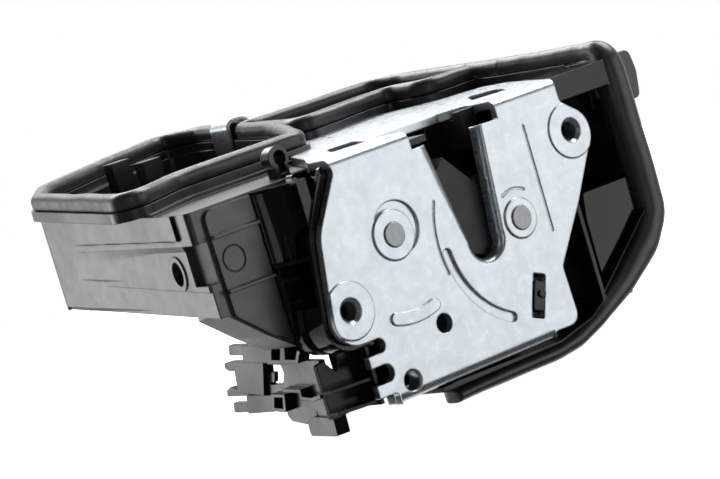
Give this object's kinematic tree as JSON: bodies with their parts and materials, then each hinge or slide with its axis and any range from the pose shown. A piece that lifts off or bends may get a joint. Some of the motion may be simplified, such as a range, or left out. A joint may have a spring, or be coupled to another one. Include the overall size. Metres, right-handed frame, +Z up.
{
  "type": "door latch actuator",
  "caption": "Vehicle door latch with a zinc plate, turning fork and pawl, and a sealed housing for its electric locking drive.",
  "frame": {"origin": "centre of the striker slot's rounded root, on the latch plate's outer face", "axes": "+X across the plate towards the face seal, +Y into the door, +Z up the plate towards the rim seal"},
  "size_m": [0.1692, 0.1893, 0.0894],
  "materials": {
    "zinc_plate": "bright zinc plating, slightly mottled",
    "zinc_dark": "zinc plated, in shade",
    "rivet_steel": "zinc plated, turned",
    "fork_steel": "bare blanked steel",
    "pawl_steel": "bare blanked steel",
    "black_skin": "overmoulded elastomer",
    "spring_wire": "oiled spring wire",
    "black_gloss": "glossy injection moulding",
    "black_satin": "satin injection moulding",
    "black_rubber": "soft stop",
    "lever_zinc": "zinc plated blank",
    "foam": "closed-cell foam cord",
    "foam_face": "closed-cell foam strip",
    "tinned_brass": "tinned contact pins",
    "natural_nylon": "natural acetal",
    "motor_can": "drawn can",
    "board_green": "solder-resisted laminate",
    "relay_case": "moulded case"
  },
  "bodies": {
    "latch_body": {"latch_plate": "zinc_plate", "fork_rivet": "rivet_steel", "pawl_rivet": "rivet_steel", "back_plate": "zinc_dark", "fork_spring": "spring_wire", "carrier": "black_gloss", "striker_buffer": "black_rubber", "plate_clip": "black_gloss", "housing": "black_satin", "rim_seal": "foam", "face_seal": "foam_face", "rim_strap": "zinc_plate", "keyhole_post": "black_satin", "connector_header": "black_satin", "connector_pins": "tinned_brass", "cable_bracket": "black_satin", "gear_axle": "rivet_steel", "motor": "motor_can", "circuit_board": "board_green", "relay": "relay_case", "motor_cover": "black_satin", "board_cover": "black_satin", "cover_screws": "rivet_steel"},
    "fork": {"fork_steel": "fork_steel", "fork_cover": "black_skin"},
    "pawl": {"pawl": "pawl_steel"},
    "release_lever": {"release_lever": "lever_zinc"},
    "lock_lever": {"lock_lever": "lever_zinc"},
    "outside_lever": {"outside_lever": "black_satin"},
    "gear": {"worm_gear": "natural_nylon"},
    "worm": {"worm": "natural_nylon"}
  },
  "joints": [
    {"name": "fork_turn", "type": "hinge", "parent": "latch_body", "child": "fork", "pos_m": [0.014, 0.0092, 0.0023], "axis": [0, -1, 0], "range_deg": [0, 58], "stiffness_Nm_per_rad": 0.08, "springref_deg": -28.65},
    {"name": "pawl_turn", "type": "hinge", "parent": "latch_body", "child": "pawl", "pos_m": [-0.0313, 0.0092, 0.0108], "axis": [0, 1, 0], "range_deg": [-7, 13]},
    {"name": "release_turn", "type": "hinge", "parent": "latch_body", "child": "release_lever", "pos_m": [-0.029, 0.0198, -0.0246], "axis": [0, -1, 0], "range_deg": [-14, 25]},
    {"name": "gear_turn", "type": "hinge", "parent": "latch_body", "child": "gear", "pos_m": [0.027, 0.0395, -0.014], "axis": [0, 1, 0], "range_deg": [-26, 12]},
    {"name": "lock_turn", "type": "hinge", "parent": "latch_body", "child": "lock_lever", "pos_m": [0.027, 0.0198, -0.014], "axis": [0, 1, 0], "range_deg": [-26, 12]},
    {"name": "worm_turn", "type": "hinge", "parent": "latch_body", "child": "worm", "pos_m": [0.027, 0.0395, 0.0038], "axis": [1, 0, 0], "range_deg": [-630, 300]},
    {"name": "outside_turn", "type": "hinge", "parent": "latch_body", "child": "outside_lever", "pos_m": [0.057, 0.0133, 0.0332], "axis": [0, 1, 0], "range_deg": [0, 14]}
  ],
  "couplings": [
    {"joint": "release_turn", "follows": "pawl_turn", "ratio": 1.88},
    {"joint": "lock_turn", "follows": "gear_turn", "ratio": 1},
    {"joint": "worm_turn", "follows": "gear_turn", "ratio": 24}
  ]
}
